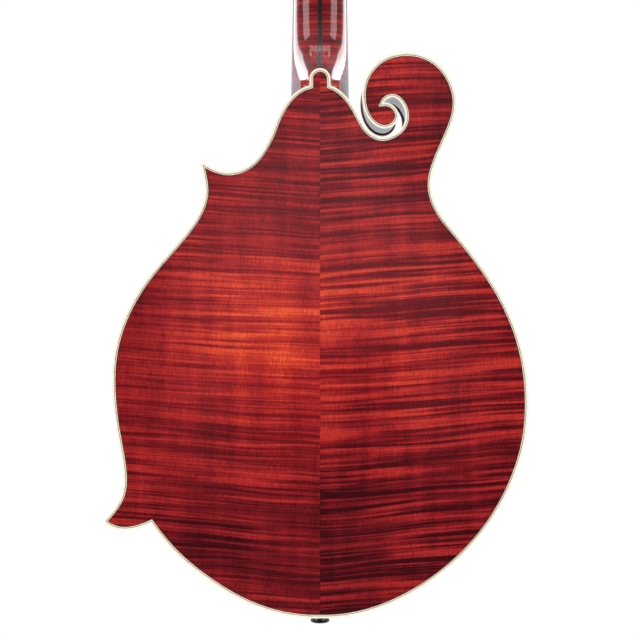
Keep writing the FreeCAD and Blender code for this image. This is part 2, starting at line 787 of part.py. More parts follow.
def course_x(course, twin, spread, pair):
    gap = (spread - pair) / 3
    return -spread / 2 + course * gap + twin * pair


def post_of(course, twin):
    """Side and height of the post that winds a string: outer courses take the lower posts."""
    side = -1 if course < 2 else 1
    place = (0 if course in (0, 3) else 2) + (twin if side < 0 else 1 - twin)
    return side, tuner_first + place * tuner_spacing


string_routes = {}
for course, radius in enumerate(string_radii):
    for twin in (0, 1):
        side, z = post_of(course, twin)
        winding = post_radius + 2 * radius
        hook_x = course_x(course, twin, tail_spread, tail_pair)
        nut_x = course_x(course, twin, nut_spread, nut_pair)
        string_routes[course, twin] = [
            Vector(hook_x, -tail_face_y - 1.2, hook_z + hook_radius + radius + hook_step * twin),
            Vector(hook_x, -tail_face_y - 1.2, tail_z + tail_base_length + 1),
            Vector(course_x(course, twin, bridge_spread, bridge_pair), saddle_y, saddle_z),
            neck_place.multVec(Vector(nut_x, -string_rise_nut, nut_z + 0.5)),
            head_place.multVec(Vector(side * (post_offset - winding - radius - fit), winding_y, z)),
        ]


def string_solid(course, twin):
    radius = string_radii[course]
    route = string_routes[course, twin]
    pieces = [rod(a, b, radius) for a, b in zip(route, route[1:])]
    pieces += [Part.makeSphere(radius, point) for point in route[1:-1]]
    return joined(*pieces)


save("strings_wound", *[string_solid(course, twin) for course in (0, 1) for twin in (0, 1)])
save("strings_plain", *[string_solid(course, twin) for course in (2, 3) for twin in (0, 1)])


def string_grooves(index):
    """Grooves for the strings where they cross the nut (index 3) or the saddle (index 2)."""
    grooves = []
    for (course, twin), route in string_routes.items():
        radius = string_radii[course] + 0.03
        for a, b in ((route[index - 1], route[index]), (route[index], route[index + 1])):
            grooves.append(rod(a, b, radius))
        grooves.append(Part.makeSphere(radius, route[index]))
    return grooves


nut = box((-nut_width / 2, nut_width / 2), (-nut_rise, board_thickness), (nut_z, nut_z + nut_thickness))
back_top = [edge for edge in nut.Edges if edge.BoundBox.XLength > 20 and edge.CenterOfMass.y < 0
            and edge.CenterOfMass.z > nut_z + 1]
nut = nut.makeFillet(nut_rise * 0.9, back_top)
save("nut", placed(nut, neck_place).cut(string_grooves(3)))

# ---- bridge ----

def top_height(x, z):
    """Depth of the arched face at a place on the top."""
    line = Part.makeLine(Vector(x, -big, z), Vector(x, 0, z))
    return top_face.section(line).Vertexes[0].Point.y


crest_y = top_height(0, saddle_z)
base_y = crest_y - bridge_base_rise
half_base = bridge_base_width / 2
half_saddle = bridge_saddle_width / 2
foot_inner = 0.36 * half_base
end_y = top_height(half_base, saddle_z) - 2.2


def across(points, thickness):
    """A bridge piece: its front outline (x, y) given a thickness along the strings."""
    corners = [Vector(x, y, saddle_z - thickness / 2) for x, y in points]
    return Part.Face(Part.makePolygon(corners + corners[:1])).extrude(Vector(0, 0, thickness))


def both_sides(points):
    return points + [(-x, y) for x, y in reversed(points)]


base = across(both_sides([(foot_inner + 4, 0), (half_base, 0), (half_base, end_y),
                          (bridge_post_offset + 7, base_y)]), bridge_base_thickness)
foot_gap = both_sides([(foot_inner, 1), (foot_inner, crest_y + 0.6), (foot_inner - 5, crest_y - 1.2)])
base = base.cut(across(foot_gap, bridge_base_thickness + 2))
base = base.cut(under_top)
base_corners = [edge for edge in base.Edges if abs(edge.BoundBox.ZLength - bridge_base_thickness) < 0.01
                and edge.CenterOfMass.y < base_y + 0.5]
base = base.makeFillet(1.2, base_corners)
post_foot = base_y + bridge_base_rise - 0.6
wheel_y = base_y - bridge_wheel_lift
saddle_low = wheel_y - bridge_wheel_thickness - 0.02
post_top = saddle_low - 3.6
bridge_axes = [(-bridge_post_offset, saddle_z), (bridge_post_offset, saddle_z)]
bridge_posts = [along_head(x, z, post_top, post_foot, bridge_post_radius) for x, z in bridge_axes]
save("bridge_base", base.cut(bridge_posts))
save("bridge_posts", *bridge_posts)

saddle_peak = saddle_y - 0.15
half_spread = bridge_spread / 2
saddle = across(both_sides([(half_saddle - 9, saddle_low), (half_saddle - 1, saddle_low),
                            (half_saddle, saddle_low - 1.2), (half_saddle - 1, saddle_low - 4.6),
                            (half_spread + 7, saddle_peak + 0.6), (half_spread + 4, saddle_peak)]),
                bridge_saddle_thickness)
relief = across(both_sides([(25, saddle_low + 1), (22, saddle_low - 1.6), (12, saddle_low - 2.2)]),
                bridge_saddle_thickness + 2)
well_radius = bridge_post_radius + fit
post_wells = [along_head(x, z, post_top - 1.9, saddle_low + 1, well_radius) for x, z in bridge_axes]
chamfer_z = bridge_saddle_thickness / 2
step_offsets = [0.9, -0.7, 0.7, -0.9]
steps = []
for course, shift in enumerate(step_offsets):
    x = course_x(course, 0.5, bridge_spread, bridge_pair)
    low = -half_saddle if course == 0 else x - bridge_spread / 6
    high = half_saddle if course == 3 else x + bridge_spread / 6
    for sign in (-1, 1):
        edge = saddle_z + 0.25 * shift + sign * 1.3
        outer = saddle_z + sign * (chamfer_z + 1)
        steps.append(box((low, high), (saddle_peak - 2, saddle_peak + 1.1), tuple(sorted((edge, outer)))))
saddle = saddle.cut([relief] + post_wells + steps + string_grooves(2))
save("bridge_saddle", saddle)


def thumbwheel(x, z):
    wheel = along_head(x, z, wheel_y - bridge_wheel_thickness, wheel_y, bridge_wheel_radius)
    count = 30
    notches = []
    for i in range(count):
        turn = 2 * math.pi * i / count
        notch_x = x + (bridge_wheel_radius + 0.12) * math.cos(turn)
        notch_z = z + (bridge_wheel_radius + 0.12) * math.sin(turn)
        notches.append(along_head(notch_x, notch_z, wheel_y - 5, wheel_y + 5, 0.35))
    return wheel.cut(notches + [along_head(x, z, wheel_y - 5, wheel_y + 5, bridge_post_radius + fit)])


save("thumbwheel_bass", thumbwheel(*bridge_axes[0]))
save("thumbwheel_treble", thumbwheel(*bridge_axes[1]))

# ---- tailpiece ----

leg_half = tail_leg_width / 2
base_half = tail_base_width / 2
corner_y = -tail_face_y
leg = box((-leg_half, leg_half), (corner_y, corner_y + tail_leg_length), (tail_z - tail_plate, tail_z))
base_top = tail_z + tail_base_length
flat = prism(polygon([(-leg_half, tail_z - tail_plate), (leg_half, tail_z - tail_plate),
                      (leg_half, tail_z + 6), (base_half, tail_z + 12), (base_half, base_top),
                      (-base_half, base_top), (-base_half, tail_z + 12), (-leg_half, tail_z + 6)]),
             corner_y, corner_y + tail_plate)
tail_edge = prism(Part.Wire(top_edges), -face_y, face_y)
leg = leg.cut(tail_edge)
front_lip = box((-base_half, base_half), (corner_y - 0.5, corner_y + tail_plate),
                (tail_z + tail_base_length - 2, tail_z + tail_base_length))
stand = box((-base_half + 6, base_half - 6), (corner_y + tail_plate, corner_y + tail_plate + 30),
            (tail_z + tail_base_length - 2, tail_z + tail_base_length)).cut(under_top)
hooks = []
for (course, twin), route in string_routes.items():
    x = route[0].x
    z = hook_z + hook_step * twin
    hooks.append(along_head(x, z, corner_y - hook_rise, corner_y + tail_plate, hook_radius))
pin_clear = rod(Vector(0, 0, -big), Vector(0, 0, big), pin_collar_radius + slide)
tail_base = joined(leg, flat, front_lip, stand, *hooks).cut([pin_clear] + tail_drills)
save("tailpiece_base", tail_base)


def cover_arch(half, rise, z_low, z_high, y):
    """The solid under a low arch that spans the tailpiece."""
    arc = Part.Arc(Vector(-half, y, z_low), Vector(0, y - rise, z_low), Vector(half, y, z_low)).toShape()
    wire = Part.Wire([arc, Part.makeLine(Vector(half, y, z_low), Vector(-half, y, z_low))])
    return Part.Face(wire).extrude(Vector(0, 0, z_high - z_low))


cover_half = base_half + cover_gap + cover_sheet
cover_z = (tail_z + 4, tail_z + 4 + cover_length)
rail_z = (tail_z + 14, tail_z + tail_base_length - 6)
rail_low = corner_y + tail_plate + cover_gap
shell_base = corner_y - 1.0
shell_hollow = cover_arch(cover_half - cover_sheet, cover_rise - cover_sheet,
                          cover_z[0] - 1, cover_z[1] + 1, shell_base)
shell = cover_arch(cover_half, cover_rise, *cover_z, shell_base).cut(shell_hollow)
rails = []
for sign in (-1, 1):
    outer = sign * cover_half
    wall = sorted((outer, outer - sign * cover_sheet))
    foot = sorted((outer, outer - sign * (cover_sheet + cover_gap + 1.6)))
    rails.append(box(wall, (shell_base, rail_low + cover_sheet), rail_z))
    rails.append(box(foot, (rail_low, rail_low + cover_sheet), rail_z))
cover_profile = [(-cover_half - 1, cover_z[0] - 1), (cover_half + 1, cover_z[0] - 1)]
cover_profile += [(cover_half + 1, cover_z[1] - 16), (cover_half - 8, cover_z[1] - 4), (12, cover_z[1] - 1),
                  (0, cover_z[1]), (-12, cover_z[1] - 1), (-cover_half + 8, cover_z[1] - 4),
                  (-cover_half - 1, cover_z[1] - 16)]
cover = joined(shell, *rails).common(prism(polygon(cover_profile), -big, 0))
save("tailpiece_cover", cover)

# ---- strap button ----

def turned(profile):
    """A solid turned about the Z axis from (radius, z) points."""
    points = [Vector(r, 0, z) for r, z in profile]
    return Part.Face(Part.makePolygon(points + points[:1])).revolve(Vector(0, 0, 0), Vector(0, 0, 1), 360)


head_half = pin_head_length / 2
band_half = pin_band_length / 2
pin_end = tail_z + pin_shank_length
button_profile = [
    (0, -head_half), (pin_head_radius - 2.4, -head_half), (pin_head_radius - 1.0, -head_half + 0.35),
    (pin_head_radius - 0.3, -band_half - 0.35), (pin_head_radius, -band_half), (pin_head_radius, band_half),
    (pin_head_radius - 0.3, band_half + 0.35), (pin_head_radius - 1.0, head_half - 0.3),
    (pin_waist_radius + 0.3, head_half), (pin_waist_radius, head_half + 0.3),
    (pin_waist_radius, tail_z - pin_collar_length), (pin_collar_radius, tail_z - pin_collar_length),
    (pin_collar_radius, tail_z), (pin_shank_radius, tail_z), (pin_shank_radius, pin_end), (0, pin_end),
]
save("end_pin", turned(button_profile))

# ---- tuners, in the headstock's frame ----

gear_root = gear_pitch_radius - gear_tooth - 0.1
gear_tip = gear_pitch_radius + gear_tooth
worm_tip = worm_distance - gear_root - 0.12
worm_core = worm_distance - gear_tip - 0.12
lead = 2 * math.pi * gear_pitch_radius / gear_teeth


def gear_blank():
    """The worm wheel, axis along Y, with a tooth gap facing the worm (+Z)."""
    points = []
    for tooth in range(gear_teeth):
        centre = 2 * math.pi * (tooth + 0.5) / gear_teeth
        for radius, width in ((gear_root, -1.05), (gear_tip, -0.5), (gear_tip, 0.5), (gear_root, 1.05)):
            turn = centre + width / 2 / radius
            points.append((radius * math.sin(turn), radius * math.cos(turn)))
    return prism(polygon(points), worm_y - gear_face / 2, worm_y + gear_face / 2)


def string_post(radius):
    """Post, wheel, screw head and the string wound on it, axis along Y through the origin."""
    tip = -overlay_thickness - post_rise
    stem = along_head(0, 0, tip, worm_y, post_radius)
    crown_edges = [edge for edge in stem.Edges if abs(edge.CenterOfMass.y - tip) < 0.01]
    stem = stem.makeFillet(0.8, crown_edges)
    groove_y = tip + 3.2
    eye = rod(Vector(-9, groove_y, 0), Vector(9, groove_y, 0), 0.7)
    seat = along_head(0, 0, plate_back_y + slide, worm_y, gear_root - 1.2)
    cap = along_head(0, 0, worm_y, worm_y + gear_face / 2 + 1.4, 2.5)
    driver = box((-3, 3), (worm_y + gear_face / 2 + 0.9, worm_y + 9), (-0.4, 0.4))
    wound = along_head(0, 0, winding_y - 2.2, winding_y + 1.6, post_radius + 2 * radius)
    return joined(stem, seat, gear_blank(), cap, wound).cut([eye, driver])


def worm_shaft():
    """Worm, shaft and finger button, axis along X through the origin, button towards +X."""
    far = head_half_high + button_gap - post_offset
    start = Vector(-worm_length / 2 - ear_thickness - 0.6, 0, 0)
    shaft_rod = rod(start, Vector(far + 4, 0, 0), worm_shaft_radius)
    core = rod(Vector(-worm_length / 2 + slide, 0, 0), Vector(worm_length / 2 - slide, 0, 0), worm_core)
    helix = Part.makeHelix(lead, worm_turns * lead, worm_pitch_radius)
    flank = Part.Wire(Part.makePolygon([
        Vector(worm_core - 0.15, 0, -0.5), Vector(worm_tip, 0, -0.22), Vector(worm_tip, 0, 0.22),
        Vector(worm_core - 0.15, 0, 0.5), Vector(worm_core - 0.15, 0, -0.5)]))
    thread = Part.Wire(helix).makePipeShell([flank], True, True)
    thread.translate(Vector(0, 0, -worm_turns * lead / 2))
    thread = placed(thread, Placement(Vector(0, 0, 0), Rotation(Vector(0, 1, 0), 90)))
    collar = Part.makeCone(3.4, 2.4, 3, Vector(far - 1.6, 0, 0), Vector(1, 0, 0))
    grip = box((far, far + button_length), (-button_thickness / 2, button_thickness / 2),
               (-button_width / 2, button_width / 2))
    grip = grip.makeFillet(button_thickness * 0.42, grip.Edges)
    return joined(core.fuse(thread), shaft_rod, collar, grip)


worm_solid = worm_shaft()
bearing_plates = []
for side in (-1, 1):
    near, far = sorted((side * plate_near, side * plate_far))
    plate = box((near, far), (head_thickness, plate_back_y), (plate_low, plate_high))
    corners = [edge for edge in plate.Edges if edge.BoundBox.YLength > tuner_plate_thickness / 2]
    plate = plate.makeFillet(3, corners)
    cuts = []
    for i in range(tuner_count):
        z = tuner_first + i * tuner_spacing
        axis_z = z + worm_distance
        for end in (-1, 1):
            middle = side * post_offset + end * (worm_length / 2 + ear_thickness / 2)
            ear = box((middle - ear_thickness / 2, middle + ear_thickness / 2),
                      (plate_back_y - 0.2, worm_y + 3.4), (axis_z - 3.4, axis_z + 3.4))
            tips = [edge for edge in ear.Edges if edge.BoundBox.XLength > 1 and edge.CenterOfMass.y > worm_y]
            plate = plate.fuse(ear.makeFillet(3.3, tips))
        post_x = side * post_offset
        ends = (Vector(post_x - 12, worm_y, axis_z), Vector(post_x + 12, worm_y, axis_z))
        cuts.append(rod(*ends, worm_shaft_radius + fit))
        cuts.append(along_head(post_x, z, head_thickness - 1, plate_back_y + 1, post_radius + fit))
    bearing_plates.append(placed(plate.removeSplitter().cut(cuts), head_place).cut(screw_drills))
save("tuner_plates", *bearing_plates)

bushings = []
for number, (side, z) in enumerate(posts, 1):
    x = side * post_offset
    sleeve = along_head(x, z, -overlay_thickness, bushing_length - overlay_thickness, bushing_radius)
    flange = along_head(x, z, -overlay_thickness - bushing_flange, -overlay_thickness, flange_radius)
    bore = along_head(x, z, -50, 50, post_radius + fit)
    bushings.append(placed(joined(sleeve, flange).cut(bore), head_place))
    courses = {(post_of(c, t)): string_radii[c] for c in range(4) for t in (0, 1)}
    post_solid = string_post(courses[side, z])
    post_solid.translate(Vector(x, 0, z))
    save("string_post_%d" % number, placed(post_solid, head_place))
    turn = Rotation() if side > 0 else Rotation(Vector(0, 0, 1), 180)
    knob = placed(worm_solid, Placement(Vector(x, worm_y, z + worm_distance), turn))
    save("tuner_knob_%d" % number, placed(knob, head_place))
save("tuner_bushings", *bushings)
save("small_screws", *screws)
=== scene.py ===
import math

import bmesh
import bpy
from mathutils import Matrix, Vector
from mathutils.geometry import delaunay_2d_cdt


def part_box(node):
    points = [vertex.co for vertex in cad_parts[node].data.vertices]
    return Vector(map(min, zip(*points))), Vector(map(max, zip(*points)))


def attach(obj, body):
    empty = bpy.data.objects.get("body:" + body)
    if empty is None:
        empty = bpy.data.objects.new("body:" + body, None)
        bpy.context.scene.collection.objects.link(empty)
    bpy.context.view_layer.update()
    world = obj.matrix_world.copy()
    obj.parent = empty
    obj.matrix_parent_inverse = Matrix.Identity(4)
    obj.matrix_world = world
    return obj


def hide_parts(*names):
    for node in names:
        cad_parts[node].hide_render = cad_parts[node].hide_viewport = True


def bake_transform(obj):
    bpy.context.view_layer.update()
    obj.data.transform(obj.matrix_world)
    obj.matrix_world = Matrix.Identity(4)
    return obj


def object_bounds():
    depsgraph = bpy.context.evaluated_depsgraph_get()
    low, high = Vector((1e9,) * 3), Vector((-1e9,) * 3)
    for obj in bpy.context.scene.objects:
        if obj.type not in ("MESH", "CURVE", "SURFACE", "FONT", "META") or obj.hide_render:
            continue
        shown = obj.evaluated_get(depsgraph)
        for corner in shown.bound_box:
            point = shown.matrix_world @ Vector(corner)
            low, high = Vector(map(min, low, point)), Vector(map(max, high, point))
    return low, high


# An F-style mandolin, seen from behind: a stained, flamed maple back under deep gloss lacquer, bound in
# ivoroid. Metres, +Z up the neck, +Y out of the back, -X the bass side.

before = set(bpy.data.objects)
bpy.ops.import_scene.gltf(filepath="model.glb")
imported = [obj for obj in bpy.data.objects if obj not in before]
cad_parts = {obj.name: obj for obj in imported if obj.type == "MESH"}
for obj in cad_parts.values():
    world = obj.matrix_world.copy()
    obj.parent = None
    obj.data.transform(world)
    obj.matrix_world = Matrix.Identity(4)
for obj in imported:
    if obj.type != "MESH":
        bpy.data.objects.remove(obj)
cad_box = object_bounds()
ROOT = "body_and_neck"

# ---- places read from the frame ----

binding_low, binding_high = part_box("back_binding")
tail_z = binding_low.z
face_y = binding_high.y

# ---- driving dimensions ----

body_width = 0.256
body_length = 0.348
neck_joint = 0.3286              # above the tail
plate_thickness = 0.0045
plate_net = 0.0028               # between neighbouring points of a carved plate's net
knob_button_length = 0.0121      # from a knob's outer end to its shaft
winding_pitch = 0.00032          # of the bronze wire along a wound string


# ---- material helpers ----

def new_material(name):
    material = bpy.data.materials.new(name)
    material.use_nodes = True
    tree = material.node_tree
    tree.nodes.clear()
    output = tree.nodes.new("ShaderNodeOutputMaterial")
    shader = tree.nodes.new("ShaderNodeBsdfPrincipled")
    tree.links.new(shader.outputs["BSDF"], output.inputs["Surface"])
    return material, tree, shader


def node(tree, kind, values=None, **settings):
    """A node with its settings, and its inputs set to numbers or linked to sockets."""
    made = tree.nodes.new(kind)
    for key, value in settings.items():
        setattr(made, key, value)
    for key, value in (values or {}).items():
        socket = made.inputs[key]
        if isinstance(value, bpy.types.NodeSocket):
            tree.links.new(value, socket)
        else:
            socket.default_value = value
    return made


def math_node(tree, operation, a, b=0.0, clamp=False):
    return node(tree, "ShaderNodeMath", {0: a, 1: b}, operation=operation, use_clamp=clamp).outputs[0]


def vector_node(tree, operation, a, b, output=0):
    return node(tree, "ShaderNodeVectorMath", {0: a, 1: b}, operation=operation).outputs[output]


def swing(tree, value, size):
    """How far a value lies from a half, scaled."""
    return math_node(tree, "MULTIPLY", math_node(tree, "SUBTRACT", value, 0.5), size)


def weighted(tree, a, share_a, b, share_b):
    first = math_node(tree, "MULTIPLY", a, share_a)
    second = math_node(tree, "MULTIPLY", b, share_b)
    return math_node(tree, "ADD", first, second)


def noise(tree, vector, scale, detail=2.0, roughness=0.5, distortion=0.0):
    values = {"Vector": vector, "Scale": scale, "Detail": detail, "Roughness": roughness,
              "Distortion": distortion}
    return node(tree, "ShaderNodeTexNoise", values).outputs["Fac"]


def mapped(tree, vector, scale, location=(0, 0, 0)):
    values = {"Vector": vector, "Scale": scale, "Location": location}
    return node(tree, "ShaderNodeMapping", values).outputs[0]


def ramp(tree, factor, stops):
    made = node(tree, "ShaderNodeValToRGB", {"Fac": factor})
    elements = made.color_ramp.elements
    while len(elements) < len(stops):
        elements.new(0.5)
    for element, (place, colour) in zip(elements, stops):
        element.position = place
        element.color = (*colour, 1)
    return made.outputs["Color"]


def multiplied(tree, colour, level):
    """A colour made lighter or darker by a level that changes over the surface."""
    grey = node(tree, "ShaderNodeCombineColor", {0: level, 1: level, 2: level}).outputs[0]
    inputs = {0: 1.0, 6: colour, 7: grey}        # the factor, then the two colours
    return node(tree, "ShaderNodeMix", inputs, data_type="RGBA", blend_type="MULTIPLY").outputs[2]


def span(tree, value, low, high, out_low=0.0, out_high=1.0):
    """A value stretched from one range to another, and held at its ends."""
    values = {"Value": value, "From Min": low, "From Max": high, "To Min": out_low, "To Max": out_high}
    return node(tree, "ShaderNodeMapRange", values, clamp=True).outputs["Result"]


def coordinates(tree):
    return node(tree, "ShaderNodeTexCoord").outputs["Object"]


def new_group(name, inputs, outputs):
    group = bpy.data.node_groups.new(name, "ShaderNodeTree")
    for label, kind, default in inputs:
        socket = group.interface.new_socket(label, in_out="INPUT", socket_type=kind)
        if default is not None:
            socket.default_value = default
    for label, kind in outputs:
        group.interface.new_socket(label, in_out="OUTPUT", socket_type=kind)
    start = group.nodes.new("NodeGroupInput")
    end = group.nodes.new("NodeGroupOutput")
    return group, start.outputs, end.inputs


def use_group(tree, group, values):
    return node(tree, "ShaderNodeGroup", values, node_tree=group).outputs


# ---- effects that several materials share ----

FLOAT, VECTOR = "NodeSocketFloat", "NodeSocketVector"


def flame_group():
    """Curly figure: soft-edged bands across the grain, uneven in width and strength, and fine grain.

    The vector's Z runs along the grain, and its X and Y across it.
    """
    sway_size = 0.007
    broad_share, fine_share = 0.40, 0.60
    stripe_gain, column_gain = 3.9, 0.75
    pore_share, speck_share = 0.6, 0.4
    group, given, result = new_group(
        "curly_figure",
        [("Vector", VECTOR, None), ("Bands", FLOAT, 110.0), ("Length", FLOAT, 13.0), ("Contrast", FLOAT, 1.0),
         ("Tilt", FLOAT, 0.0), ("Seed", FLOAT, 0.0)],
        [("Figure", FLOAT), ("Grain", FLOAT), ("Patches", FLOAT)])
    split = node(group, "ShaderNodeSeparateXYZ", {0: given["Vector"]})
    tilt = math_node(group, "MULTIPLY", split.outputs[0], given["Tilt"])
    tilted = math_node(group, "ADD", split.outputs[2], tilt)
    sway = noise(group, mapped(group, given["Vector"], (11, 11, 13)), 1.0, 1.5)
    swayed = math_node(group, "ADD", tilted, swing(group, sway, sway_size))
    along = math_node(group, "MULTIPLY", swayed, given["Bands"])
    across_x = math_node(group, "MULTIPLY", split.outputs[0], given["Length"])
    across_y = math_node(group, "MULTIPLY", split.outputs[1], given["Length"])
    place = node(group, "ShaderNodeCombineXYZ", {0: across_x, 1: across_y, 2: along}).outputs[0]
    seed = given["Seed"]
    shift = node(group, "ShaderNodeCombineXYZ", {0: seed, 1: seed, 2: seed}).outputs[0]
    place = vector_node(group, "ADD", place, shift)
    broad = noise(group, place, 1.0, 0.0)
    fine = noise(group, vector_node(group, "MULTIPLY", place, (1.5, 1.5, 2.4)), 1.0, 1.0, 0.45)
    patches = noise(group, mapped(group, given["Vector"], (15, 15, 17), (3.1, 0, 1.7)), 1.0, 1.5)
    columns = noise(group, mapped(group, given["Vector"], (95, 95, 9), (0.4, 0, 5.2)), 1.0, 1.0)
    strength = math_node(group, "MULTIPLY", span(group, patches, 0.32, 0.68, 0.6, 1.3), given["Contrast"])
    bands = swing(group, weighted(group, broad, broad_share, fine, fine_share), strength)
    stripes = math_node(group, "MULTIPLY", bands, stripe_gain)
    upright = swing(group, columns, column_gain)
    figure = math_node(group, "ADD", math_node(group, "ADD", stripes, upright), 0.5, True)
    pores = noise(group, mapped(group, given["Vector"], (1300, 1300, 190)), 1.0, 2.0, 0.6)
    speck = noise(group, given["Vector"], 1150.0, 1.0)
    group.links.new(figure, result["Figure"])
    group.links.new(weighted(group, pores, pore_share, speck, speck_share), result["Grain"])
    group.links.new(patches, result["Patches"])
    return group


def streak_group():
    """Fine lines along one direction, for spruce, ebony, ivoroid and brushed metal."""
    group, given, result = new_group(
        "fine_streaks",
        [("Vector", VECTOR, None), ("Across", FLOAT, 900.0), ("Along", FLOAT, 30.0)], [("Lines", FLOAT)])
    split = node(group, "ShaderNodeSeparateXYZ", {0: given["Vector"]})
    parts = {i: math_node(group, "MULTIPLY", split.outputs[i], given["Across"]) for i in (0, 1)}
    parts[2] = math_node(group, "MULTIPLY", split.outputs[2], given["Along"])
    place = node(group, "ShaderNodeCombineXYZ", parts).outputs[0]
    group.links.new(noise(group, place, 1.0, 3.0, 0.6), result["Lines"])
    return group


def wear_group():
    """Faint, cloudy handling marks that break up a polished surface's gloss."""
    group, given, result = new_group(
        "handling_marks", [("Vector", VECTOR, None), ("Amount", FLOAT, 0.05), ("Base", FLOAT, 0.1)],
        [("Roughness", FLOAT)])
    cloud = noise(group, given["Vector"], 60.0, 3.0)
    rough = math_node(group, "ADD", given["Base"], math_node(group, "MULTIPLY", cloud, given["Amount"]))
    group.links.new(rough, result["Roughness"])
    return group


flames = flame_group()
streaks = streak_group()
marks = wear_group()


def lines_along(tree, place, across, along):
    return use_group(tree, streaks, {"Vector": place, "Across": across, "Along": along})["Lines"]


def polish(tree, shader, place, base, amount, coat=0.0, coat_roughness=0.03):
    """Handling marks in the gloss, under a clear coat where there is one."""
    gloss = use_group(tree, marks, {"Vector": place, "Base": base, "Amount": amount})
    tree.links.new(gloss["Roughness"], shader.inputs["Roughness"])
    shader.inputs["Coat Weight"].default_value = coat
    shader.inputs["Coat Roughness"].default_value = coat_roughness


def relief(tree, shader, height, strength, depth):
    bump = node(tree, "ShaderNodeBump", {"Height": height, "Strength": strength, "Distance": depth})
    tree.links.new(bump.outputs["Normal"], shader.inputs["Normal"])


def lacquered(tree, shader, colour, place, height, strength):
    """Deep clear lacquer over a coloured ground."""
    tree.links.new(colour, shader.inputs["Base Color"])
    polish(tree, shader, place, 0.30, 0.12, 1.0, 0.035)
    shader.inputs["Specular IOR Level"].default_value = 0.04
    shader.inputs["Coat IOR"].default_value = 1.48
    relief(tree, shader, height, strength, 0.0003)


# ---- materials ----

def flamed_maple(name, dark, middle, bright, figure):
    """Stained curly maple, with a colour each for the figure's dark bands, middle and bright bands."""
    material, tree, shader = new_material(name)
    place = coordinates(tree)
    wood = use_group(tree, flames, {"Vector": place, **figure})
    colour = ramp(tree, wood["Figure"], [(0.0, dark), (0.45, middle), (1.0, bright)])
    colour = multiplied(tree, colour, span(tree, wood["Grain"], 0.3, 0.7, 0.84, 1.12))
    lacquered(tree, shader, colour, place, wood["Grain"], 0.03)
    return material


def rise(x, z, reach_x, reach_z, height):
    """A soft change of tone about a place on the back, with its own reach across and along it."""
    return (x, 0, z), (reach_x, 1, reach_z), height


def rise_of(tree, place, centre, reach, height):
    away = vector_node(tree, "DIVIDE", vector_node(tree, "SUBTRACT", place, centre), reach)
    square = vector_node(tree, "DOT_PRODUCT", away, away, "Value")
    fall = math_node(tree, "EXPONENT", math_node(tree, "MULTIPLY", square, -1.0))
    return math_node(tree, "MULTIPLY", fall, height)


back_stain = [(0.0, (0.040, 0.0030, 0.0050)), (0.30, (0.165, 0.0075, 0.0110)), (0.55, (0.36, 0.0190, 0.0180)),
              (0.78, (0.58, 0.050, 0.023)), (1.0, (0.82, 0.125, 0.035))]
back_ground_tone = 0.345
back_mottle = 0.30


def back_maple(name, figure, rises, contrast):
    """The back's maple: stripes over a slow change of tone, warm in the middle and dark towards the rim."""
    material, tree, shader = new_material(name)
    place = coordinates(tree)
    wood = use_group(tree, flames, {"Vector": place, **figure})
    tone = back_ground_tone
    for centre, reach, height in rises:
        tone = math_node(tree, "ADD", tone, rise_of(tree, place, centre, reach, height))
    tone = math_node(tree, "ADD", tone, swing(tree, wood["Patches"], back_mottle))
    level = math_node(tree, "ADD", tone, swing(tree, wood["Figure"], contrast), True)
    grain = span(tree, wood["Grain"], 0.36, 0.64, 0.70, 1.26)
    colour = multiplied(tree, ramp(tree, level, back_stain), grain)
    lacquered(tree, shader, colour, place, wood["Grain"], 0.03)
    return material


def stained_spruce(name):
    """Straight, close annual lines under a red stain, warmer towards the bridge."""
    material, tree, shader = new_material(name)
    place = coordinates(tree)
    lines = lines_along(tree, place, 620.0, 5.0)
    from_bridge = mapped(tree, place, (7.5, 0, 5.4), (0, 0, -0.92))
    far = vector_node(tree, "LENGTH", from_bridge, (0, 0, 0), "Value")
    stain = ramp(tree, far, [(0.0, (0.55, 0.075, 0.020)), (0.45, (0.32, 0.020, 0.014)),
                             (1.0, (0.11, 0.005, 0.008))])
    colour = multiplied(tree, stain, span(tree, lines, 0.3, 0.7, 0.72, 1.15))
    lacquered(tree, shader, colour, place, lines, 0.04)
    return material


def bare_wood(name):
    material, tree, shader = new_material(name)
    lines = lines_along(tree, coordinates(tree), 420.0, 16.0)
    colour = ramp(tree, lines, [(0.3, (0.42, 0.27, 0.14)), (0.7, (0.66, 0.48, 0.29))])
    tree.links.new(colour, shader.inputs["Base Color"])
    shader.inputs["Roughness"].default_value = 0.75
    return material


def ivoroid(name):
    """Cream celluloid with a faint parallel grain, polished and a little yellowed."""
    material, tree, shader = new_material(name)
    place = coordinates(tree)
    lines = lines_along(tree, place, 300.0, 1800.0)
    tone = weighted(tree, lines, 0.75, noise(tree, place, 30.0, 3.0), 0.25)
    colour = ramp(tree, tone, [(0.3, (0.78, 0.70, 0.52)), (0.7, (0.93, 0.89, 0.76))])
    tree.links.new(colour, shader.inputs["Base Color"])
    polish(tree, shader, place, 0.16, 0.1, 0.6, 0.06)
    return material


def dark_wood(name):
    """Oiled ebony: near black, with brown streaks and open pores."""
    material, tree, shader = new_material(name)
    place = coordinates(tree)
    lines = lines_along(tree, place, 1100.0, 40.0)
    colour = ramp(tree, lines, [(0.35, (0.010, 0.008, 0.007)), (0.8, (0.040, 0.026, 0.020))])
    tree.links.new(colour, shader.inputs["Base Color"])
    polish(tree, shader, place, 0.34, 0.2)
    relief(tree, shader, lines, 0.15, 0.0002)
    return material


def black_gloss(name, roughness):
    material, tree, shader = new_material(name)
    place = coordinates(tree)
    cloud = noise(tree, place, 45.0, 2.0)
    colour = ramp(tree, cloud, [(0.3, (0.008, 0.008, 0.009)), (0.7, (0.016, 0.015, 0.016))])
    tree.links.new(colour, shader.inputs["Base Color"])
    polish(tree, shader, place, roughness, 0.12, 0.8, 0.05)
    return material


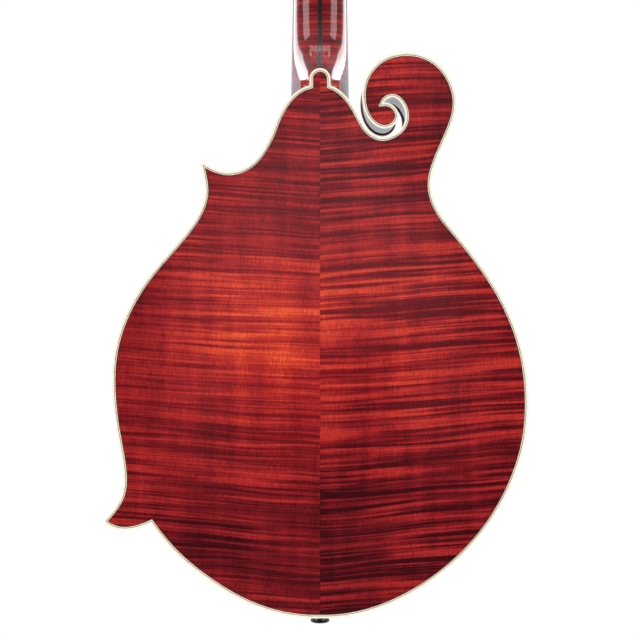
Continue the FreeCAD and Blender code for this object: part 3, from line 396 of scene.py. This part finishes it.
def metal(name, low, high, roughness):
    """Plated or drawn metal with fine polishing lines and faint clouding."""
    material, tree, shader = new_material(name)
    place = coordinates(tree)
    lines = lines_along(tree, place, 500.0, 60.0)
    cloud = noise(tree, place, 35.0, 3.0)
    tree.links.new(ramp(tree, cloud, [(0.3, low), (0.7, high)]), shader.inputs["Base Color"])
    rough = math_node(tree, "ADD", roughness, math_node(tree, "MULTIPLY", lines, 0.12))
    tree.links.new(rough, shader.inputs["Roughness"])
    shader.inputs["Metallic"].default_value = 1.0
    return material


def wound_wire(name):
    """Bronze wire wound closely on a core: fine ridges along the string."""
    material, tree, shader = new_material(name)
    place = coordinates(tree)
    height = node(tree, "ShaderNodeSeparateXYZ", {0: place}).outputs[2]
    turns = math_node(tree, "SINE", math_node(tree, "MULTIPLY", height, 2 * math.pi / winding_pitch))
    colour = ramp(tree, noise(tree, place, 80.0), [(0.3, (0.50, 0.29, 0.13)), (0.7, (0.70, 0.45, 0.22))])
    tree.links.new(colour, shader.inputs["Base Color"])
    relief(tree, shader, turns, 0.6, 0.00008)
    shader.inputs["Metallic"].default_value = 1.0
    rough = math_node(tree, "ADD", 0.28, math_node(tree, "MULTIPLY", turns, 0.04))
    tree.links.new(rough, shader.inputs["Roughness"])
    return material


def pearl(name, low, high, scale):
    """Shell or bone with drifting pale colour."""
    material, tree, shader = new_material(name)
    place = coordinates(tree)
    drift = noise(tree, mapped(tree, place, (1, 1, 0.45)), scale, 3.0, 0.6, 1.6)
    sheen = ramp(tree, drift, [(0.25, low), (0.5, high), (0.68, (0.72, 0.80, 0.76)),
                               (0.85, (0.84, 0.74, 0.76))])
    tree.links.new(sheen, shader.inputs["Base Color"])
    polish(tree, shader, place, 0.12, 0.1, 0.8, 0.04)
    return material


# The back's two halves: a figure and a pattern of light and dark for each.
bass_figure = {"Bands": 290.0, "Length": 10.0, "Contrast": 1.15, "Tilt": 0.07, "Seed": 4.0}
bass_rises = [rise(0.012, 0.180, 0.055, 0.060, 0.17), rise(-0.004, 0.060, 0.030, 0.060, -0.20),
              rise(-0.07, 0.050, 0.07, 0.05, -0.13), rise(-0.060, 0.165, 0.045, 0.060, 0.06),
              rise(-0.055, 0.345, 0.05, 0.03, 0.05)]
treble_figure = {"Bands": 300.0, "Length": 11.0, "Contrast": 0.80, "Tilt": -0.06, "Seed": 9.0}
treble_rises = [rise(0.026, 0.172, 0.050, 0.058, 0.27), rise(0.075, 0.075, 0.060, 0.050, -0.10),
                rise(0.05, 0.040, 0.07, 0.05, -0.10), rise(0.060, 0.215, 0.035, 0.050, 0.05)]
rib_figure = {"Bands": 330.0, "Length": 30.0, "Contrast": 1.0, "Seed": 2.0}
neck_figure = {"Bands": 260.0, "Length": 20.0, "Contrast": 0.7, "Seed": 6.0}
rib_dark, neck_dark = (0.050, 0.003, 0.006), (0.07, 0.004, 0.007)
red_middle, red_bright = (0.20, 0.010, 0.013), (0.46, 0.032, 0.018)
looks = {
    "back_bass": back_maple("flamed_maple_bass", bass_figure, bass_rises, 0.52),
    "back_treble": back_maple("flamed_maple_treble", treble_figure, treble_rises, 0.46),
    "ribs": flamed_maple("flamed_maple_ribs", rib_dark, red_middle, red_bright, rib_figure),
    "neck": flamed_maple("flamed_maple_neck", neck_dark, red_middle, red_bright, neck_figure),
    "top": stained_spruce("stained_spruce"),
    "inner_wood": bare_wood("bare_wood"),
    "ivoroid": ivoroid("ivoroid"),
    "black_line": black_gloss("black_fibre", 0.3),
    "ebony": dark_wood("ebony"),
    "veneer": black_gloss("black_veneer", 0.16),
    "button_black": black_gloss("black_button", 0.2),
    "bone": pearl("bone", (0.66, 0.61, 0.50), (0.78, 0.74, 0.64), 60.0),
    "pearl": pearl("mother_of_pearl", (0.60, 0.66, 0.68), (0.85, 0.86, 0.84), 220.0),
    "nickel": metal("nickel_plate", (0.62, 0.60, 0.56), (0.78, 0.76, 0.72), 0.10),
    "fret_wire": metal("nickel_silver", (0.60, 0.58, 0.52), (0.74, 0.72, 0.66), 0.16),
    "brass": metal("brass", (0.62, 0.42, 0.14), (0.76, 0.56, 0.24), 0.18),
    "steel": metal("plain_steel", (0.46, 0.46, 0.46), (0.62, 0.62, 0.61), 0.2),
    "bronze": wound_wire("bronze_winding"),
}


# ---- pieces from the frame's own shapes ----

def new_object(name, data):
    made = bpy.data.objects.new(name, data)
    bpy.context.scene.collection.objects.link(made)
    return made


def finished(name, mesh, look, replaced):
    """A piece with its look and the frame node that it stands for."""
    piece = new_object(name, mesh)
    mesh.materials.clear()
    mesh.materials.append(looks[look])
    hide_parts(replaced)
    return piece


def merged(name):
    """A copy of a frame node's mesh with its loose triangles joined up."""
    bm = bmesh.new()
    bm.from_mesh(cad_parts[name].data)
    bmesh.ops.remove_doubles(bm, verts=bm.verts, dist=2e-6)
    bmesh.ops.dissolve_degenerate(bm, edges=bm.edges, dist=1e-6)
    return bm


def to_mesh(bm, name, crease):
    """A smooth-shaded mesh, sharp where its faces meet at more than the crease angle, in degrees."""
    mesh = bpy.data.meshes.new(name)
    bm.to_mesh(mesh)
    bm.free()
    mesh.shade_smooth()
    mesh.set_sharp_from_angle(angle=math.radians(crease))
    return mesh


def cut_at(bm, point, direction, keep_beyond):
    """Cuts a mesh with a plane, keeps one side of it and closes the cut."""
    geometry = bm.verts[:] + bm.edges[:] + bm.faces[:]
    cut = bmesh.ops.bisect_plane(bm, geom=geometry, plane_co=point, plane_no=direction,
                                 clear_inner=keep_beyond, clear_outer=not keep_beyond)
    rim = [item for item in cut["geom_cut"] if isinstance(item, bmesh.types.BMEdge)]
    bmesh.ops.holes_fill(bm, edges=rim, sides=0)


def skin(name, body, look):
    """A smooth-shaded piece with the node's own shape."""
    label = name + "_piece"
    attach(finished(label, to_mesh(merged(name), label, 30), look, name), body)


def add_knob(name):
    """A tuner's nickel shaft and worm, and its pearl button, split where the button starts."""
    low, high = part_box(name)
    side = 1 if high.x + low.x > 0 else -1
    start = (high.x if side > 0 else low.x) - side * knob_button_length
    for part, outside, look in (("shaft", False, "nickel"), ("button", True, "pearl")):
        bm = merged(name)
        cut_at(bm, (start, 0, 0), (side, 0, 0), outside)
        label = name + "_" + part
        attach(finished(label, to_mesh(bm, label, 35), look, name), name)


# ---- carved plates ----

arch_start = 0.006                     # above the tail
arch_length = neck_joint - 0.008
arch_lean = 0.81                       # under 1, it moves the widest and highest part towards the tail
arch_half_width = 0.478 * body_width
grid_columns, grid_rows = 20, 28


def pear(x, z, arch):
    """Height of the carving before it is smoothed."""
    along = (z - tail_z - arch_start) / arch_length
    if not 0 < along < 1:
        return 0.0
    swell = math.sin(math.pi * along ** arch_lean)
    across = abs(x) / (arch_half_width * swell ** 0.7)
    if across >= 1:
        return 0.0
    lift = (0.5 - 0.5 * math.cos(2 * math.pi * along ** arch_lean)) ** 0.7
    return arch * lift * (0.5 + 0.5 * math.cos(math.pi * across)) ** 0.9


def kernel(t):
    """A cubic spline's weight at a distance in grid steps."""
    t = abs(t)
    if t < 1:
        return (4 - 6 * t * t + 3 * t ** 3) / 6
    return (2 - t) ** 3 / 6 if t < 2 else 0.0


class Carving:
    """The carved surface: a smooth sheet over a coarse grid of heights, as the frame's plates have."""

    def __init__(self, arch):
        self.x_low, self.x_step = -0.6 * body_width, 1.2 * body_width / grid_columns
        self.z_low, self.z_step = tail_z - 0.010, (body_length + 0.025) / grid_rows
        self.grid = [[pear(self.x_low + i * self.x_step, self.z_low + j * self.z_step, arch)
                      for j in range(-1, grid_rows + 2)] for i in range(-1, grid_columns + 2)]

    def height(self, x, z):
        u, w = (x - self.x_low) / self.x_step, (z - self.z_low) / self.z_step
        total = 0.0
        for i in range(int(u) - 1, int(u) + 3):
            for j in range(int(w) - 1, int(w) + 3):
                if -1 <= i < grid_columns + 2 and -1 <= j < grid_rows + 2:
                    total += kernel(u - i) * kernel(w - j) * self.grid[i + 1][j + 1]
        return total


def rim_loops(name, side):
    """The border of a plate's outward faces, as closed lists of (x, z) points."""
    facing, sliver, fewest_points = 0.45, 1e-12, 9
    bm = merged(name)
    bm.normal_update()
    outer = {face for face in bm.faces if face.normal.y * side > facing and face.calc_area() > sliver}
    links = {}
    for edge in bm.edges:
        if sum(face in outer for face in edge.link_faces) == 1:
            a, b = edge.verts
            links.setdefault(a.index, []).append(b.index)
            links.setdefault(b.index, []).append(a.index)
    bm.verts.ensure_lookup_table()
    places = {i: (bm.verts[i].co.x, bm.verts[i].co.z) for i in links}
    bm.free()
    loops, seen = [], set()
    for first in links:
        if first in seen:
            continue
        loop, here, before = [], first, None
        while here is not None and here not in seen:
            seen.add(here)
            loop.append(places[here])
            ahead = [n for n in links[here] if n != before and n not in seen]
            before, here = here, ahead[0] if ahead else None
        if len(loop) >= fewest_points:
            loops.append(loop)
    return loops


def crossings(loops, z):
    """Where the outlines cross a level line, from low x to high."""
    found = []
    for loop in loops:
        for (ax, az), (bx, bz) in zip(loop, loop[1:] + loop[:1]):
            if (az > z) != (bz > z):
                found.append((bx - ax) * (z - az) / (bz - az) + ax)
    return sorted(found)


def inside(x, z, loops):
    return sum(x < crossing for crossing in crossings(loops, z)) % 2 == 1


def net_points(loops, step):
    """Points in staggered rows inside the outlines, with a margin left beside them."""
    row_height, margin = step * 0.866, 0.55 * step
    near = {}
    for loop in loops:
        for x, z in loop:
            near.setdefault((int(x // step), int(z // step)), []).append((x, z))
    low_z = min(z for loop in loops for _, z in loop)
    high_z = max(z for loop in loops for _, z in loop)
    points = []
    for j in range(int((high_z - low_z) / row_height) + 1):
        z = low_z + j * step * 0.866
        ends = crossings(loops, z)
        for start, end in zip(ends[::2], ends[1::2]):
            x = math.ceil(start / step) * step + (0.5 * step if j % 2 else 0)
            while x < end:
                column, row = int(x // step), int(z // step)
                close = [q for i in (-1, 0, 1) for k in (-1, 0, 1)
                         for q in near.get((column + i, row + k), [])]
                if x > start and all((q[0] - x) ** 2 + (q[1] - z) ** 2 > margin ** 2 for q in close):
                    points.append((x, z))
                x += step
    return points


def plate_mesh(name, cad_name, side, carving):
    """A carved plate: its outline from the frame, an even net of points on the carving, and walls."""
    loops = rim_loops(cad_name, side)
    points, edges = [], []
    for loop in loops:
        first = len(points)
        points += loop
        edges += [(first + i, first + (i + 1) % len(loop)) for i in range(len(loop))]
    points += net_points(loops, plate_net)
    verts, _, faces, _, _, _ = delaunay_2d_cdt([Vector(p) for p in points], edges, [], 0, 1e-7)
    bm = bmesh.new()
    outer = [bm.verts.new((v.x, side * (face_y + carving.height(v.x, v.y)), v.y)) for v in verts]
    inner = [bm.verts.new((v.co.x, v.co.y - side * plate_thickness, v.co.z)) for v in outer]
    for face in faces:
        if inside(sum(verts[i].x for i in face) / 3, sum(verts[i].y for i in face) / 3, loops):
            bm.faces.new([outer[i] for i in face])
            bm.faces.new([inner[i] for i in reversed(face)])
    partner = dict(zip(outer, inner))
    for edge in [edge for edge in bm.edges if len(edge.link_faces) == 1 and edge.verts[0] in partner]:
        a, b = edge.verts
        bm.faces.new([a, b, partner[b], partner[a]])
    bmesh.ops.delete(bm, geom=[v for v in bm.verts if not v.link_faces], context="VERTS")
    bmesh.ops.recalc_face_normals(bm, faces=bm.faces)
    return to_mesh(bm, name, 50)


def add_plate(plate, half, side, carving, look):
    label, cad_name = plate + "_" + half + "_plate", plate + "_" + half + "_half"
    mesh = plate_mesh(label, cad_name, side, carving)
    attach(finished(label, mesh, look, cad_name), ROOT)


arch_allowance = 0.0002                # the carving before smoothing, above the frame's highest point
back_carving = Carving(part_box("back_bass_half")[1].y - face_y + arch_allowance)
top_carving = Carving(-face_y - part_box("top_bass_half")[0].y + arch_allowance)
for half in ("bass", "treble"):
    add_plate("back", half, 1, back_carving, "back_" + half)
    add_plate("top", half, -1, top_carving, "top")

# ---- the rest of the body and neck ----

for name in ("rib_bass", "rib_treble_lower", "rib_treble_waist", "rib_treble_upper"):
    skin(name, ROOT, "ribs")
for name in ("back_binding", "top_binding", "purfling_ivory", "headstock_binding", "fingerboard_binding"):
    skin(name, ROOT, "ivoroid")
skin("purfling_black", ROOT, "black_line")
for name in ("neck_bass_half", "neck_treble_half"):
    skin(name, ROOT, "neck")
skin("neck_centre_strip", ROOT, "veneer")
for name in ("head_block", "tail_block", "point_blocks", "linings", "tone_bars"):
    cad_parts[name].data.materials.clear()
    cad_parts[name].data.materials.append(looks["inner_wood"])
fittings = {
    "headstock_overlay": ("black_lacquer", "veneer"), "truss_rod_cover": ("black_lacquer", "veneer"),
    "fingerboard": ("ebony", "ebony"), "bridge_base": ("ebony", "ebony"), "nut": ("bone", "bone"),
    "frets": ("fret_wire", "fret_wire"), "fret_markers": ("pearl", "pearl"), "truss_rod": ("steel", "steel"),
    "bridge_posts": ("steel", "steel"), "tailpiece_base": ("nickel", "nickel"),
    "tuner_plates": ("nickel", "nickel"), "tuner_bushings": ("nickel", "nickel"),
    "small_screws": ("nickel", "nickel"),
}
for name, (slot, look) in fittings.items():
    skin(name, ROOT, look)
for body, slot, look in (("bridge_saddle", "ebony", "ebony"), ("thumbwheel_bass", "nickel", "nickel"),
                         ("thumbwheel_treble", "nickel", "nickel"), ("tailpiece_cover", "nickel", "nickel"),
                         ("truss_rod_nut", "brass", "brass")):
    skin(body, body, look)
skin("end_pin", ROOT, "button_black")
for number in range(1, 9):
    skin("string_post_%d" % number, "string_post_%d" % number, "nickel")
    add_knob("tuner_knob_%d" % number)


def add_strings(name, look):
    """The strings in two pieces that meet on the saddle."""
    long_edge, cuts = 0.02, 7
    low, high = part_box("bridge_saddle")
    saddle = Vector((0, low.y, (low.z + high.z) / 2))
    nut_low, nut_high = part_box("nut")
    nut = Vector((0, nut_low.y, (nut_low.z + nut_high.z) / 2))
    tail = Vector((0, saddle.y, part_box("tailpiece_base")[1].z))
    for part, keep_above, ends in (("tail", False, (ROOT, "bridge_saddle", tail, saddle)),
                                   ("neck", True, ("bridge_saddle", ROOT, saddle, nut))):
        bm = merged(name)
        cut_at(bm, saddle, (0, 0, 1), keep_above)
        long_edges = [edge for edge in bm.edges if edge.calc_length() > long_edge]
        bmesh.ops.subdivide_edges(bm, edges=long_edges, cuts=cuts)
        bmesh.ops.triangulate(bm, faces=bm.faces)
        label = name + "_" + part
        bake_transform(finished(label, to_mesh(bm, label, 40), look, name))


add_strings("strings_wound", "bronze")
add_strings("strings_plain", "steel")


# ---- stage, lights and camera ----

def add_floor():
    """A small round white floor under the object: it takes the shadow and stays out of reflections."""
    drop, radius = 0.16, 0.8
    material, tree, shader = new_material("white_floor")
    speck = noise(tree, coordinates(tree), 90.0, 2.0)
    colour = ramp(tree, speck, [(0.3, (0.93, 0.93, 0.93)), (0.7, (0.97, 0.97, 0.97))])
    tree.links.new(colour, shader.inputs["Base Color"])
    shader.inputs["Roughness"].default_value = 0.9
    shader.inputs["Specular IOR Level"].default_value = 0.1
    bm = bmesh.new()
    bmesh.ops.create_circle(bm, cap_ends=True, segments=96, radius=radius)
    bmesh.ops.translate(bm, verts=bm.verts, vec=(0, 0, cad_box[0].z - drop))
    mesh = bpy.data.meshes.new("floor")
    bm.to_mesh(mesh)
    bm.free()
    mesh.materials.append(material)
    floor = new_object("floor", mesh)
    floor.visible_glossy = False


def add_world():
    """A studio: white to the camera, softly lit, and in reflections dim on the back's side (+Y)."""
    cool_white = (0.88, 0.92, 1, 1)
    world = bpy.data.worlds.new("studio")
    bpy.context.scene.world = world
    world.use_nodes = True
    tree = world.node_tree
    tree.nodes.clear()
    path = node(tree, "ShaderNodeLightPath")
    way = node(tree, "ShaderNodeSeparateXYZ", {0: node(tree, "ShaderNodeTexCoord").outputs["Generated"]})
    soft = node(tree, "ShaderNodeBackground", {"Color": (1, 1, 1, 1), "Strength": 0.16})
    front = span(tree, way.outputs[1], 0.30, -0.25, 0.0, 0.70)
    above = span(tree, way.outputs[2], 0.0, 0.30, 0.0, 0.50)
    sideways = span(tree, math_node(tree, "ABSOLUTE", way.outputs[0]), 0.25, 0.7, 0.0, 0.30)
    beside = math_node(tree, "MULTIPLY", sideways, span(tree, way.outputs[2], -0.35, 0.05, 0.0, 1.0))
    bright = math_node(tree, "MAXIMUM", math_node(tree, "MAXIMUM", front, above), beside)
    mirror = node(tree, "ShaderNodeBackground", {"Color": cool_white, "Strength": bright})
    white = node(tree, "ShaderNodeBackground", {"Color": (1, 1, 1, 1), "Strength": 1.0})
    clear = math_node(tree, "MAXIMUM", path.outputs["Is Glossy Ray"], path.outputs["Is Transmission Ray"])
    first = node(tree, "ShaderNodeMixShader", {0: clear, 1: soft.outputs[0], 2: mirror.outputs[0]})
    second = node(tree, "ShaderNodeMixShader", {
        0: path.outputs["Is Camera Ray"], 1: first.outputs[0], 2: white.outputs[0]})
    output = node(tree, "ShaderNodeOutputWorld")
    tree.links.new(second.outputs[0], output.inputs["Surface"])


def aimed(name, data, place, direction):
    """A lamp or camera at a place, looking along a direction."""
    holder = new_object(name, data)
    holder.location = place
    holder.rotation_mode = "QUATERNION"
    holder.rotation_quaternion = direction.to_track_quat("-Z", "Y")
    return holder


def add_lamp(name, place, target, size, power):
    lamp = bpy.data.lights.new(name, "AREA")
    lamp.shape = "RECTANGLE"
    lamp.size, lamp.size_y = size
    lamp.energy = power
    aimed(name, lamp, place, Vector(target) - Vector(place))


def add_camera():
    aim = Vector((0, 0, tail_z + 0.184))
    distance = 1.15
    seen_width = 0.3946           # across the frame at the plane of the back's edge
    camera = bpy.data.cameras.new("camera")
    camera.sensor_width = 36
    camera.lens = camera.sensor_width * distance / seen_width
    camera.clip_start, camera.clip_end = 0.05, 50
    place = aim + Vector((0, face_y + distance, 0))
    bpy.context.scene.camera = aimed("camera", camera, place, Vector((0, -1, 0)))


lamps = (
    ("left_box", (1.45, 1.35, 0.70), (1.45, 1.5), 29),
    ("right_box", (-1.45, 1.35, 0.70), (1.45, 1.5), 27),
    ("front_left_box", (-1.5, -1.3, 0.75), (1.2, 1.4), 24),
    ("front_right_box", (1.5, -1.3, 0.75), (1.2, 1.4), 24),
    ("top_box", (0, 0.3, 1.9), (1.4, 1.0), 12),
)
body_middle = (0, 0, 0.22)

add_floor()
add_world()
for name, place, size, power in lamps:
    add_lamp(name, place, body_middle, size, power)
add_camera()
bpy.context.scene.view_settings.view_transform = "Standard"
